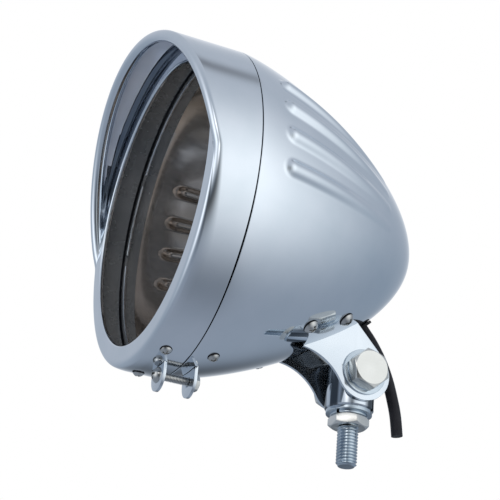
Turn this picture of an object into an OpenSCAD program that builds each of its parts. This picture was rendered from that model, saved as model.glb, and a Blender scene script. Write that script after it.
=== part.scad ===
/* [Bowl] */
// Outside diameter where the bowl meets the trim ring
lamp_d = 159; // [120:0.5:200]
// Length of the bowl from the seam to its tail
bowl_len = 114; // [80:0.5:160]
// Shoulder exponent, a larger one keeps the bowl wide for longer
bowl_shoulder = 1.34; // [1.1:0.01:2]
// Tail exponent, a larger one makes the tail blunter
bowl_tail = 1.76; // [1.3:0.01:2.4]
// Thickness of the pressed steel sheet
sheet_t = 1.2; // [0.8:0.1:2]
// How far the neck reaches forward into the trim ring
neck_len = 5.8; // [3:0.1:9]
// Width of the neck's flange, turned in toward the lamp axis
neck_flange = 2.3; // [1.5:0.1:6]
// Sliding clearance between the neck and the trim ring
neck_gap = 0.2; // [0.1:0.05:0.5]
// Width of a locating notch in the neck's flange
notch_w = 6; // [2:0.5:10]

/* [Ribs] */
// Number of pressed ribs on each side
rib_count = 4; // [1:1:5]
// Angle of the first rib from the top
rib_first = 55.6; // [45:0.1:65]
// Angle from one rib to the next
rib_step = 12.7; // [10:0.1:16]
// Distance from the seam to the round front end of a rib
rib_front = 12.1; // [8:0.1:25]
// Distance from the seam to where a rib has faded into the bowl
rib_back = 84; // [60:0.5:95]
// Radius of the rib's round cross section
rib_r = 4.4; // [3:0.1:6]
// Height of a rib above the bowl at its front end
rib_h = 2.2; // [1:0.1:3]

/* [Trim ring] */
// Length of the ring's straight wall, from the seam to its rolled corner
ring_wall = 14.5; // [12:0.5:30]
// Diameter of the lamp's mouth inside the lip
mouth_d = 137.2; // [100:0.2:150]
// Radius of the rolled corner between the wall and the lip
ring_roll = 6.5; // [3:0.1:10]
// How far the visor stands beyond the lip at the top
visor_reach = 19; // [5:0.5:35]
// Angle from the top to where the visor runs out into the lip
visor_end = 93; // [60:1:110]
// Radius of the bead rolled into the visor's front edge
bead_r = 2.9; // [1.5:0.1:4]

/* [Clamp] */
// Thickness of the two stamped lugs
lug_t = 1.4; // [1:0.1:2.5]
// Width of a lug's ear
lug_w = 15; // [10:0.5:22]
// Clear space between the neck and the front ear
neck_to_ear = 1.4; // [1:0.1:3]
// Distance from the seam back to the rear ear
rear_ear = 7.1; // [4:0.1:12]
// Distance from the outside of the wall down to the clamp screw
clamp_below = 4.1; // [3.5:0.1:12]
// Angle from the bottom to each lug screw
lug_screw_angle = 12.5; // [10:0.1:18]
// Distance from the rear ear to its lug's screws
rear_screw_off = 4; // [3:0.1:6]
// Width of the rear lug's foot that lies inside the bowl
rear_foot = 6.6; // [6:0.1:9]
// Clearance between an ear and its slot
slot_gap = 0.25; // [0.1:0.05:0.6]

/* [Small screws] */
// Thread diameter of the lug screws
m3_d = 3; // [2.5:0.1:4]
// Head diameter of the lug screws
m3_head_d = 5.8; // [4.5:0.1:8]
// Head height of the lug screws
m3_head_h = 2.1; // [1:0.1:3]
// Thread diameter of the clamp screw and the bracket screws
m4_d = 4; // [3.5:0.1:5]
// Head diameter of the clamp screw and the bracket screws
m4_head_d = 7.6; // [6:0.1:10]
// Head height of the clamp screw and the bracket screws
m4_head_h = 2.7; // [1.5:0.1:4]
// Clearance of a small screw in its hole, on the diameter
screw_gap = 0.4; // [0.2:0.05:0.8]

/* [Tilt bracket] */
// Thickness of the bracket's ears
ear_t = 1.5; // [1:0.1:3]
// Thickness of the saddle inside the bowl
saddle_t = 2; // [1:0.1:3]
// Distance from the seam to the saddle's front edge
saddle_front = 46; // [40:0.5:55]
// Distance from the seam to the saddle's rear edge
saddle_back = 85.5; // [80:0.5:95]
// Angle from the bottom to each side of the saddle
saddle_angle = 35; // [30:1:50]
// Distance from the seam to the front pair of bracket screws
screw_front = 52.4; // [48:0.1:60]
// Distance from the seam to the rear pair of bracket screws
screw_rear = 72.9; // [64:0.1:80]
// Angle from the bottom to each bracket screw
screw_angle = 27.5; // [24:0.1:34]
// Distance from the seam back to the pivot bolt and the stud
pivot_back = 88.5; // [82:0.1:110]
// Distance from the bowl's outside straight down to the pivot bolt
pivot_below = 25.4; // [22:0.1:40]
// Radius of the ears' round ends
ear_r = 13.6; // [11:0.1:18]
// Radius of the scoop in the ears' front edge
scoop_r = 26; // [15:0.5:40]
// Distance from the seam to where the ears leave the bowl in front
ear_front = 56.6; // [52:0.1:64]
// Distance from the seam to where the ears leave the bowl behind
ear_back = 84.2; // [78:0.1:95]

/* [Knuckle and stud] */
// Diameter of the round knuckle between the ears
knuckle_d = 23.2; // [18:0.1:30]
// Distance from the pivot bolt down to the knuckle's seat
knuckle_drop = 15.7; // [14:0.1:22]
// Height of the chamfer round the knuckle's foot
knuckle_chamfer = 0.6; // [0.3:0.1:1.5]
// Gap between the knuckle and each ear
knuckle_gap = 0.3; // [0.25:0.05:0.6]
// Diameter of the stud and of the pivot bolt
m10_d = 10; // [8:0.5:12]
// Running clearance of the pivot bolt in the knuckle, on the diameter
pivot_gap = 0.16; // [0.04:0.02:0.2]
// Clearance of the pivot bolt and the stud in their washers and ears
washer_gap = 0.5; // [0.2:0.1:1]
// Width across flats of the nuts and of the bolt's head
hex_af = 17; // [13:0.5:19]
// Length of stud below its nut
stud_free = 19; // [10:0.5:60]
// Depth of the stud in the knuckle
stud_in = 9; // [6:0.1:10]
// Height of the chamfer at the stud's and the bolt's end
thread_chamfer = 1.2; // [0.5:0.1:2]
// Height of the stud's nut
stud_nut_h = 5; // [4:0.1:9]
// Outside diameter of the stud's washer
stud_washer_d = 22; // [18:0.5:26]
// Thickness of the stud's washer
stud_washer_t = 1.9; // [1:0.1:3]
// Outside diameter of the spring washers
lock_d = 18; // [15:0.5:20]
// Thickness of the spring washers
lock_t = 1.2; // [0.8:0.1:2.5]
// Width of the split in a spring washer
lock_split = 1.5; // [0.8:0.1:3]

/* [Pivot bolt] */
// Height of the bolt's head
bolt_head_h = 6; // [4:0.1:8]
// Outside diameter of the pivot's washers
pivot_washer_d = 22; // [18:0.5:26]
// Thickness of the pivot's washers
pivot_washer_t = 1.2; // [1:0.1:3]
// Height of the pivot's nut
pivot_nut_h = 8; // [5:0.1:10]
// How far the bolt's end stands out of its nut
bolt_out = 2; // [1:0.1:6]

/* [Cable] */
// Diameter of the cable
cable_d = 5.6; // [4:0.1:8]
// Distance from the saddle's rear edge back to the middle of the cable hole
cable_margin = 6.9; // [6.5:0.1:12]
// Outside diameter of the grommet's flanges
grommet_d = 11; // [9:0.1:15]
// Thickness of each of the grommet's flanges
grommet_t = 1.4; // [0.8:0.1:2.5]
// Wall of the grommet round the cable
grommet_wall = 1.3; // [0.8:0.1:2]

/* [Hidden] */

// Facets that a full circle is drawn with, fine for the bowl and plain for small parts
fine = 128;
plain = 48;
// A small reach that lets a cut pass right through a face
past = 1;
// A hair of air where a flat head or nut sits on a curved wall
seat_air = 0.08;
full_turn = 360;
quarter = 90;

// How far a cut reaches inward, past any wall with its foot
wall_reach = 9;

// Sizes that follow from the ones above
lamp_r = lamp_d / 2;
mouth_r = mouth_d / 2;
m10_r = m10_d / 2;
stack_h = stud_washer_t + lock_t + stud_nut_h;
ring_depth = ring_wall + ring_roll;
// The front foot fills the ring's straight wall in front of its ear, with its screws just past its middle
front_ear = neck_len + neck_to_ear + lug_t / 2;
front_foot = ring_wall - front_ear;
screw_share = 0.6;
front_screw_off = front_foot * screw_share;
clamp_drop = lamp_r + clamp_below;
pivot_drop = bowl_out(pivot_back) + pivot_below;
// The origin lies on the stud's axis, on the under face of its nut
axis_up = pivot_drop + knuckle_drop + stack_h;
neck_out = lamp_r - sheet_t - neck_gap;
neck_in = neck_out - sheet_t;
flange_in = neck_in - neck_flange;
ear_in_x = knuckle_d / 2 + knuckle_gap;
ear_out_x = ear_in_x + ear_t;
head_x = ear_out_x + pivot_washer_t + lock_t;
nut_x = ear_out_x + pivot_washer_t;
// Room that lets a flat nut sit on a curved foot, and a band lie against the bowl's rows
nut_seat = 0.3;
band_air = 0.1;
foot_r = lamp_r - sheet_t - seat_air;
slot_h = lamp_r - bowl_in(ear_back) + wall_reach;
// Small nuts: width and height follow the thread as they do on standard nuts
nut_af_share = 1.75;
nut_height_share = 0.8;
// How far a small screw's end stands out of its nut
screw_out = 0.7;
m3_len = sheet_t + lug_t + nut_seat + m3_d * nut_height_share + screw_out;
m4_len = sheet_t + saddle_t + nut_seat + m4_d * nut_height_share + screw_out;
cable_back = saddle_back + cable_margin;
grommet_hole_r = cable_d / 2 + grommet_wall;
// Room that lets the grommet's straight groove hold the curved sheet
groove_air = 0.6;
grommet_groove = sheet_t + groove_air;

// Radius of the bowl's outside at a distance y behind the seam
function bowl_at(y, r, len) =
    r * pow(max(0, 1 - pow(max(0, y) / len, bowl_shoulder)), 1 / bowl_tail);
function bowl_out(y) = bowl_at(y, lamp_r, bowl_len);
function bowl_in(y) = bowl_at(y, lamp_r - sheet_t, bowl_len - sheet_t);
// Slope of the bowl there, as the angle that its outward normal leans to the rear
slope_step = 0.5;
function bowl_lean(y) = atan((bowl_out(y - slope_step) - bowl_out(y + slope_step)) / (2 * slope_step));

// The rows of points that draw a bowl curve, closer together toward the tail
bowl_rows = 14;
function row_y(i, len) = len * sin(quarter * i / bowl_rows);
function bowl_curve(r, len) =
    [for (i = [0 : bowl_rows]) [bowl_at(row_y(i, len), r, len), row_y(i, len)]];
// Radius of the drawn inner surface, which is straight from one row to the next
inner_rows = [for (i = [0 : bowl_rows]) let(y = row_y(i, bowl_len - sheet_t)) [y, bowl_in(y)]];
function drawn_in(y) = lookup(y, inner_rows);
function mix(a, b, k) = a + (b - a) * k;
function reversed(p) = [for (i = [len(p) - 1 : -1 : 0]) p[i]];

// Puts a piece drawn in the lamp's own place, seam at zero and axis along Y, over the stud
module in_lamp() {
    translate([0, -pivot_back, axis_up]) children();
}

// Turns a profile of radius and distance about the lamp axis
module lamp_turn(facets = fine) {
    rotate([-quarter, 0, 0]) rotate_extrude($fn = facets) children();
}

// Stands a piece on the outside of the bowl or ring, angle from the bottom, outward along -Z
module on_wall(y, angle, radius, lean) {
    rotate([0, -angle, 0]) translate([0, y, -radius]) rotate([lean, 0, 0]) children();
}

// The bowl's sheet with its neck, as one turned profile
module shell_profile() {
    outer = bowl_curve(lamp_r, bowl_len);
    inner = [for (p = reversed(bowl_curve(lamp_r - sheet_t, bowl_len - sheet_t)))
        if (p[1] > sheet_t) p];
    front = [[bowl_in(sheet_t), sheet_t], [neck_in, sheet_t], [neck_in, sheet_t - neck_len],
        [flange_in, sheet_t - neck_len], [flange_in, -neck_len], [neck_out, -neck_len], [neck_out, 0]];
    polygon(concat(outer, inner, front));
}

// The space inside the bowl behind the neck
module cavity_profile() {
    inner = [for (p = bowl_curve(lamp_r - sheet_t, bowl_len - sheet_t)) if (p[1] > sheet_t) p];
    polygon(concat(inner, [[0, sheet_t], [bowl_in(sheet_t), sheet_t]]));
}

// A rib is a bent rod lying in the sheet, its front end proud by rib_h and its back end sunk
function rib_sink(k) = rib_r - rib_h + (rib_h + sheet_t) * pow(k, 2);
function rib_place(k) = let(y = mix(rib_front + rib_r, rib_back, k)) [bowl_out(y) - rib_sink(k), y];
rib_tip = rib_place(0);
rib_mid = rib_place(1 / 2);
rib_end = rib_place(1);
// The rod's bend is the circle through those three places
half_a = (rib_mid - rib_tip) / 2;
half_b = (rib_end - rib_mid) / 2;
function turned(v) = [-v[1], v[0]];
bend_centre = rib_tip + half_a
    + turned(half_a) * ((half_a + half_b) * half_b) / (turned(half_a) * half_b);
bend_r = norm(rib_tip - bend_centre);
function bend_aim(p) = atan2(p[1] - bend_centre[1], p[0] - bend_centre[0]);
// The round end is a hair smaller than the rod, so that the two meet in a clean edge
end_step = 0.08;
module rib_rod(radius) {
    translate([0, rib_tip[1], rib_tip[0]]) sphere(r = radius - end_step, $fn = plain);
    translate([0, bend_centre[1], bend_centre[0]]) rotate([0, -quarter, 0])
        rotate([0, 0, bend_aim(rib_tip)])
            rotate_extrude(angle = bend_aim(rib_end) - bend_aim(rib_tip), $fn = fine)
                translate([bend_r, 0]) circle(r = radius, $fn = plain);
}
module ribs(radius) {
    for (side = [-1, 1]) {
        for (i = [0 : rib_count - 1]) {
            rotate([0, side * (rib_first + i * rib_step), 0]) rib_rod(radius);
        }
    }
}

// Angles from the top of the two notches in the neck's flange
notch_angles = [-55, -88];
module neck_notches() {
    for (a = notch_angles) {
        rotate([0, a, 0]) translate([-notch_w / 2, -neck_len - past, flange_in - past])
            cube([notch_w, sheet_t + 2 * past, neck_flange / 2 + past]);
    }
}

// Slot in the wall for one lug's ear
module lug_slot(y) {
    translate([-lug_w / 2 - slot_gap, y - lug_t / 2 - slot_gap, -lamp_r - past])
        cube([lug_w + 2 * slot_gap, lug_t + 2 * slot_gap, wall_reach]);
}

// Slots in the bowl for the bracket's two ears
module bracket_slots() {
    for (side = [-1, 1]) {
        translate([side * ear_mid_x - ear_t / 2 - slot_gap, ear_front - slot_gap, -lamp_r])
            cube([ear_t + 2 * slot_gap, ear_back - ear_front + 2 * slot_gap, slot_h]);
    }
}

// The way of a small screw's shank through a wall, inward from the outside
module screw_bore(d) {
    translate([0, 0, -past]) cylinder(d = d + screw_gap, h = wall_reach, $fn = plain);
}

module at_rear_lug_screws() {
    y = rear_ear + rear_screw_off;
    for (side = [-1, 1]) on_wall(y, side * lug_screw_angle, bowl_out(y), bowl_lean(y)) children();
}
module at_front_lug_screws() {
    for (side = [-1, 1])
        on_wall(-front_ear - front_screw_off, side * lug_screw_angle, lamp_r, 0) children();
}
module at_bracket_screws() {
    for (side = [-1, 1]) {
        for (y = [screw_front, screw_rear])
            on_wall(y, side * screw_angle, bowl_out(y), bowl_lean(y)) children();
    }
}
module at_cable_hole() {
    on_wall(cable_back, 0, bowl_out(cable_back), bowl_lean(cable_back)) children();
}

module shell() {
    color("gainsboro") in_lamp() difference() {
        union() {
            lamp_turn() shell_profile();
            ribs(rib_r);
        }
        ribs(rib_r - sheet_t);
        neck_notches();
        lug_slot(rear_ear);
        bracket_slots();
        at_rear_lug_screws() screw_bore(m3_d);
        at_bracket_screws() screw_bore(m4_d);
        at_cable_hole() translate([0, 0, -past])
            cylinder(r = grommet_hole_r, h = wall_reach, $fn = plain);
        lamp_turn() cavity_profile();
    }
}

// How far the visor stands beyond the lip at an angle from the top
visor_fullness = 0.9;
function visor_at(a) = abs(a) >= visor_end ? 0
    : visor_reach * pow(cos(a * quarter / visor_end), visor_fullness);

// The roll at the front is wide where there is no visor and narrows to the bead along it
roll_run = 5;
function ease(x) = let(c = min(1, max(0, x))) c * c * (3 - 2 * c);
function roll_at(d) = ring_roll + (bead_r - ring_roll) * ease(d / roll_run);

// The bead curls in until it meets the lip's plane, or to its full curl
full_curl = 250;
function curl_at(d, b) = d >= b * (1 - sin(full_curl)) ? full_curl : 180 - asin(1 - d / b);

// One section of the ring as radius and distance, from the seam out, round the front and back in
roll_steps = 10;
back_steps = 4;
lip_hem = 2.2;
lip_edge = 0.6;
function ring_section(a) =
    let(d = visor_at(a), b = roll_at(d), turn = curl_at(d, b), c = [lamp_r - b, b - ring_depth - d],
        end = c + b * [cos(turn), -sin(turn)], free = -ring_depth - end[1],
        k = ease(free / roll_run), wall = lamp_r - sheet_t, shelf = end[0] - mouth_r - lip_edge,
        back = ring_roll - sheet_t)
    concat(
        [[lamp_r, 0]],
        [for (i = [0 : roll_steps]) let(t = turn * i / roll_steps) c + b * [cos(t), -sin(t)]],
        [mix(end - [shelf / 4, 0], [wall, end[1] + min(free / 2, b / 3)], k)],
        [mix([end[0] - shelf / 2, -ring_depth], [wall, -ring_depth], k)],
        [[mouth_r + lip_edge, -ring_depth], [mouth_r, lip_edge - ring_depth],
            [mouth_r, lip_hem - ring_depth], [mouth_r + sheet_t, lip_hem - ring_depth],
            [mouth_r + sheet_t, sheet_t - ring_depth]],
        [for (i = [0 : back_steps]) [lamp_r - ring_roll, ring_roll - ring_depth]
            + back * [sin(quarter * i / back_steps), -cos(quarter * i / back_steps)]],
        [[wall, 0]]);

// The ring as one swept solid, a section at every few degrees round the lamp axis
ring_stations = 96;
module ring_sweep() {
    rows = [for (j = [0 : ring_stations - 1]) let(a = full_turn * j / ring_stations - 180)
        [for (p = ring_section(a)) [p[0] * sin(a), p[1], p[0] * cos(a)]]];
    m = len(rows[0]);
    n = ring_stations;
    points = [for (row = rows) each row];
    faces = [for (j = [0 : n - 1]) for (i = [0 : m - 1])
        let(p = j * m + i, q = j * m + (i + 1) % m, r = ((j + 1) % n) * m + (i + 1) % m,
            s = ((j + 1) % n) * m + i)
        each [[p, q, r], [p, r, s]]];
    polyhedron(points, faces, convexity = 8);
}

module trim_ring() {
    color("silver") in_lamp() difference() {
        ring_sweep();
        lug_slot(-front_ear);
        at_front_lug_screws() screw_bore(m3_d);
    }
}

// A sector of a turned profile, centred on the bottom of the lamp
module bottom_sector(half) {
    rotate([-quarter, 0, 0]) rotate([0, 0, quarter - half])
        rotate_extrude(angle = 2 * half, $fn = fine) children();
}

// An ear of a lug in its own plane, with a round end about the clamp screw
foot_margin = 5;
foot_half = lug_screw_angle + foot_margin;
module lug_ear(y, foot) {
    rise = clamp_drop - foot + lug_t / 2;
    translate([0, y + lug_t / 2, -clamp_drop]) rotate([quarter, 0, 0]) linear_extrude(height = lug_t)
        difference() {
            union() {
                circle(d = lug_w, $fn = plain);
                translate([-lug_w / 2, 0]) square([lug_w, rise]);
            }
            circle(d = m4_d + screw_gap, $fn = plain);
        }
}

module front_lug() {
    color("lightgray") in_lamp() difference() {
        union() {
            lug_ear(-front_ear, foot_r);
            bottom_sector(foot_half)
                translate([foot_r - lug_t, -front_ear - front_foot]) square([lug_t, front_foot]);
        }
        at_front_lug_screws() screw_bore(m3_d);
    }
}

// A band that lies against the inside of the bowl
band_rows = 6;
function band_y(i, from, to) = from + (to - from) * i / band_rows;
module bowl_band(from, to, t) {
    edge = [for (i = [0 : band_rows]) let(y = band_y(i, from, to)) [drawn_in(y) - band_air, y]];
    polygon(concat(edge, [for (p = reversed(edge)) p - [t, 0]]));
}

module rear_lug() {
    color("lightgray") in_lamp() difference() {
        union() {
            lug_ear(rear_ear, drawn_in(rear_ear) - band_air);
            bottom_sector(foot_half) bowl_band(rear_ear - lug_t / 2, rear_ear + rear_foot, lug_t);
        }
        at_rear_lug_screws() screw_bore(m3_d);
    }
}

// A domed screw with a cross recess: head outward along -Z, shank inward from zero
cross_reach = 0.56;
cross_slot = 0.14;
module cross_screw(d, head_d, head_h, length) {
    dome_r = (pow(head_d / 2, 2) + pow(head_h, 2)) / (2 * head_h);
    cross_l = head_d * cross_reach;
    cross_w = head_d * cross_slot;
    difference() {
        union() {
            intersection() {
                translate([0, 0, dome_r - head_h]) sphere(r = dome_r, $fn = plain);
                translate([-head_d, -head_d, -2 * head_h]) cube([2 * head_d, 2 * head_d, 2 * head_h]);
            }
            cylinder(d = d, h = length, $fn = plain);
        }
        for (turn = [0, quarter]) rotate([0, 0, turn])
            translate([-cross_l / 2, -cross_w / 2, -head_h - past])
                cube([cross_l, cross_w, past + head_h / 2]);
    }
}

// A hexagon nut standing on zero, its outer corners taken off by a cone on one or both faces
corner_ratio = 2 / sqrt(3);
face_ratio = 0.95;
chamfer_angle = 30;
module hex_body(af, h, both) {
    corner_r = af * corner_ratio / 2;
    face_r = af * face_ratio / 2;
    cut = (corner_r - face_r) * tan(chamfer_angle);
    low = both ? [[0, 0], [face_r, 0], [corner_r, cut]] : [[0, 0], [corner_r, 0]];
    intersection() {
        cylinder(r = corner_r, h = h, $fn = 6);
        rotate_extrude($fn = plain) polygon(concat(low, [[corner_r, h - cut], [face_r, h], [0, h]]));
    }
}
module hex_nut(af, h, bore_r) {
    difference() {
        hex_body(af, h, true);
        translate([0, 0, -past]) cylinder(r = bore_r, h = h + 2 * past, $fn = plain);
    }
}
thread_air = 0.04;
// Half the depth of the stud's thread, which its nut and the knuckle take up
half_thread = 0.49;
mid_thread_r = m10_r - half_thread;
module small_nut(d) {
    hex_nut(d * nut_af_share, d * nut_height_share, d / 2 + thread_air);
}

module front_lug_screws() {
    color("darkgray") in_lamp() at_front_lug_screws() cross_screw(m3_d, m3_head_d, m3_head_h, m3_len);
}
module rear_lug_screws() {
    color("darkgray") in_lamp() at_rear_lug_screws() cross_screw(m3_d, m3_head_d, m3_head_h, m3_len);
}
module front_lug_nuts() {
    color("dimgray") in_lamp() at_front_lug_screws()
        translate([0, 0, sheet_t + lug_t + nut_seat]) small_nut(m3_d);
}
module rear_lug_nuts() {
    color("dimgray") in_lamp() at_rear_lug_screws()
        translate([0, 0, sheet_t + lug_t + nut_seat]) small_nut(m3_d);
}

module clamp_screw() {
    start = front_ear + lug_t / 2;
    grip = start + rear_ear + lug_t / 2;
    color("darkgray") in_lamp() translate([0, -start, -clamp_drop]) rotate([-quarter, 0, 0])
        cross_screw(m4_d, m4_head_d, m4_head_h, grip + m4_d * nut_height_share + screw_out);
}
module clamp_nut() {
    color("dimgray") in_lamp() translate([0, rear_ear + lug_t / 2, -clamp_drop]) rotate([-quarter, 0, 0])
        small_nut(m4_d);
}

// Outline of a bracket ear in the plane of Y and Z of the lamp
ear_mid_x = ear_in_x + ear_t / 2;
pivot = [pivot_back, -pivot_drop];
function bowl_z(y, r) = -sqrt(pow(r, 2) - pow(ear_mid_x, 2));
ear_a = [ear_front, bowl_z(ear_front, bowl_out(ear_front))];
ear_b = [ear_back, bowl_z(ear_back, bowl_out(ear_back))];
// Centre of the scoop, which starts at the bowl and runs smoothly into the round end
scoop_far = norm(pivot - ear_a);
function corner_angle(a, b, opposite) = acos((pow(a, 2) + pow(b, 2) - pow(opposite, 2)) / (2 * a * b));
scoop_near = corner_angle(scoop_r, scoop_far, scoop_r + ear_r);
scoop_aim = atan2(pivot[1] - ear_a[1], pivot[0] - ear_a[0]) - scoop_near;
scoop = ear_a + scoop_r * [cos(scoop_aim), sin(scoop_aim)];
scoop_end = atan2(pivot[1] - scoop[1], pivot[0] - scoop[0]);
// Direction from the pivot to where the straight rear edge meets the round end
back_aim = atan2(ear_b[1] - pivot[1], ear_b[0] - pivot[0]) - acos(ear_r / norm(ear_b - pivot));
arc_steps = 24;
function arc(centre, r, from, to) =
    [for (i = [0 : arc_steps]) let(a = from + (to - from) * i / arc_steps) centre + r * [cos(a), sin(a)]];
module ear_outline() {
    top = [for (i = [band_rows : -1 : 0]) let(y = band_y(i, ear_front, ear_back))
        [y, bowl_z(y, drawn_in(y) - saddle_t / 2)]];
    difference() {
        polygon(concat(arc(scoop, scoop_r, scoop_aim + full_turn / 2, scoop_end),
            arc(pivot, ear_r, scoop_end + full_turn / 2, back_aim + full_turn), [ear_b], top));
        translate(pivot) circle(d = m10_d + washer_gap, $fn = plain);
    }
}

module tilt_bracket() {
    color("lightsteelblue") in_lamp() difference() {
        union() {
            bottom_sector(saddle_angle) bowl_band(saddle_front, saddle_back, saddle_t);
            for (x = [ear_in_x, -ear_out_x])
                translate([x, 0, 0]) rotate([quarter, 0, quarter])
                    linear_extrude(height = ear_t) ear_outline();
        }
        at_bracket_screws() screw_bore(m4_d);
    }
}

module bracket_screws() {
    color("darkgray") in_lamp() at_bracket_screws() cross_screw(m4_d, m4_head_d, m4_head_h, m4_len);
}
module bracket_nuts() {
    color("dimgray") in_lamp() at_bracket_screws()
        translate([0, 0, sheet_t + saddle_t + nut_seat]) small_nut(m4_d);
}

// Lays a piece drawn along Z on the pivot's axis, toward +X
module on_pivot(x) {
    in_lamp() translate([x, pivot[0], pivot[1]]) rotate([0, quarter, 0]) children();
}
// The hexagons' turn about their own axis
bolt_turn = 12;
stud_nut_turn = -62;

// A round bar with a chamfered end
module bar(r, h) {
    rotate_extrude($fn = plain)
        polygon([[0, 0], [r, 0], [r, h - thread_chamfer], [r - thread_chamfer, h], [0, h]]);
}

module pivot_bolt() {
    reach = head_x + nut_x + pivot_nut_h + bolt_out;
    color("silver") on_pivot(head_x) {
        rotate([0, 0, bolt_turn]) hex_body(hex_af, bolt_head_h, false);
        mirror([0, 0, 1]) bar(m10_r, reach);
    }
}
module round_washer(d, t) {
    difference() {
        cylinder(d = d, h = t, $fn = fine);
        translate([0, 0, -past]) cylinder(d = m10_d + washer_gap, h = t + 2 * past, $fn = plain);
    }
}
module split_washer() {
    difference() {
        round_washer(lock_d, lock_t);
        translate([0, -lock_split / 2, -past]) cube([lock_d, lock_split, lock_t + 2 * past]);
    }
}
module pivot_washers() {
    color("gray") {
        on_pivot(ear_out_x) round_washer(pivot_washer_d, pivot_washer_t);
        on_pivot(-nut_x) round_washer(pivot_washer_d, pivot_washer_t);
    }
}
module pivot_lock_washer() {
    color("dimgray") on_pivot(nut_x) rotate([0, 0, bolt_turn]) split_washer();
}
module pivot_nut() {
    color("silver") on_pivot(-nut_x - pivot_nut_h) rotate([0, 0, bolt_turn])
        hex_nut(hex_af, pivot_nut_h, m10_r + thread_air);
}

// Round block that carries the pivot bolt across and the stud from below
module knuckle() {
    r = knuckle_d / 2;
    crown = r + knuckle_chamfer;
    seat = stack_h;
    centre = stack_h + knuckle_drop;
    color("slategray") difference() {
        intersection() {
            translate([0, 0, seat]) rotate_extrude($fn = fine)
                polygon([[0, 0], [r - knuckle_chamfer, 0], [r, knuckle_chamfer],
                    [r, knuckle_drop + crown], [0, knuckle_drop + crown]]);
            union() {
                translate([-knuckle_d, 0, centre]) rotate([0, quarter, 0])
                    cylinder(r = crown, h = 2 * knuckle_d, $fn = fine);
                translate([-knuckle_d, -knuckle_d, 0]) cube([2 * knuckle_d, 2 * knuckle_d, centre]);
            }
        }
        translate([-knuckle_d, 0, centre]) rotate([0, quarter, 0])
            cylinder(d = m10_d + pivot_gap, h = 2 * knuckle_d, $fn = plain);
        translate([0, 0, seat - past])
            cylinder(r = mid_thread_r + thread_air, h = stud_in + past, $fn = plain);
    }
}
// Full width below the nut, and the width at mid thread inside the nut and the knuckle
module stud() {
    color("lightgray") {
        mirror([0, 0, 1]) bar(m10_r, stud_free);
        cylinder(r = mid_thread_r, h = stack_h + stud_in, $fn = plain);
    }
}
module stud_washer() {
    color("gray") translate([0, 0, stud_nut_h + lock_t]) round_washer(stud_washer_d, stud_washer_t);
}
module stud_lock_washer() {
    color("dimgray") translate([0, 0, stud_nut_h]) rotate([0, 0, stud_nut_turn]) split_washer();
}
module stud_nut() {
    color("silver") rotate([0, 0, stud_nut_turn]) hex_nut(hex_af, stud_nut_h, mid_thread_r + thread_air);
}

// Spool of rubber that sits in the bowl's cable hole, outward along -Z
module cable_grommet() {
    r = cable_d / 2 + thread_air;
    grip = grommet_hole_r - seat_air;
    color("black") in_lamp() at_cable_hole() rotate_extrude($fn = plain)
        polygon([[r, -grommet_t], [grommet_d / 2, -grommet_t], [grommet_d / 2, 0], [grip, 0],
            [grip, grommet_groove], [grommet_d / 2, grommet_groove],
            [grommet_d / 2, grommet_groove + grommet_t], [r, grommet_groove + grommet_t]]);
}

// The cable's way down behind the knuckle: distance behind the cable hole and below it
cable_run = [[-3, 0], [0, 0], [3.5, 0], [10, 0.2], [19, 1.6], [28.5, 4.5], [37.5, 8.5],
    [45, 12.5], [53, 18]];
cable_sides = 12;
function cable_dir(i) = let(a = cable_run[max(0, i - 1)], b = cable_run[min(len(cable_run) - 1, i + 1)])
    (b - a) / norm(b - a);
module cable() {
    r = cable_d / 2;
    n = len(cable_run);
    points = [for (i = [0 : n - 1]) let(p = cable_run[i], t = cable_dir(i))
        for (k = [0 : cable_sides - 1]) let(a = full_turn * k / cable_sides)
            [r * cos(a), -p[1] - r * sin(a) * t[0], r * sin(a) * t[1] - p[0]]];
    sides = [for (i = [0 : n - 2]) for (k = [0 : cable_sides - 1])
        let(p = i * cable_sides + k, q = i * cable_sides + (k + 1) % cable_sides)
        each [[p, q, q + cable_sides], [p, q + cable_sides, p + cable_sides]]];
    first = [for (k = [cable_sides - 1 : -1 : 0]) k];
    last = [for (k = [0 : cable_sides - 1]) (n - 1) * cable_sides + k];
    color("black") in_lamp() at_cable_hole()
        polyhedron(points, concat([first, last], sides), convexity = 4);
}

shell();
trim_ring();
front_lug();
rear_lug();
front_lug_screws();
rear_lug_screws();
front_lug_nuts();
rear_lug_nuts();
clamp_screw();
clamp_nut();
tilt_bracket();
bracket_screws();
bracket_nuts();
pivot_bolt();
pivot_washers();
pivot_lock_washer();
pivot_nut();
knuckle();
stud();
stud_washer();
stud_lock_washer();
stud_nut();
cable_grommet();
cable();
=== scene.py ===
# %% [markdown]
# # A chromed motorcycle headlight shell
# The shell is two thin pressings, a deep bowl and a trim ring with a visor, that a small clamp
# screw holds together. Two bracket ears under the bowl grip a round knuckle on a pivot bolt, and a
# threaded stud holds the knuckle up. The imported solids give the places, and the main sizes are
# named again here. Each cell prints what it made.

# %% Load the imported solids
import math

import bpy
import numpy as np
from mathutils import Matrix, Vector


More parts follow.
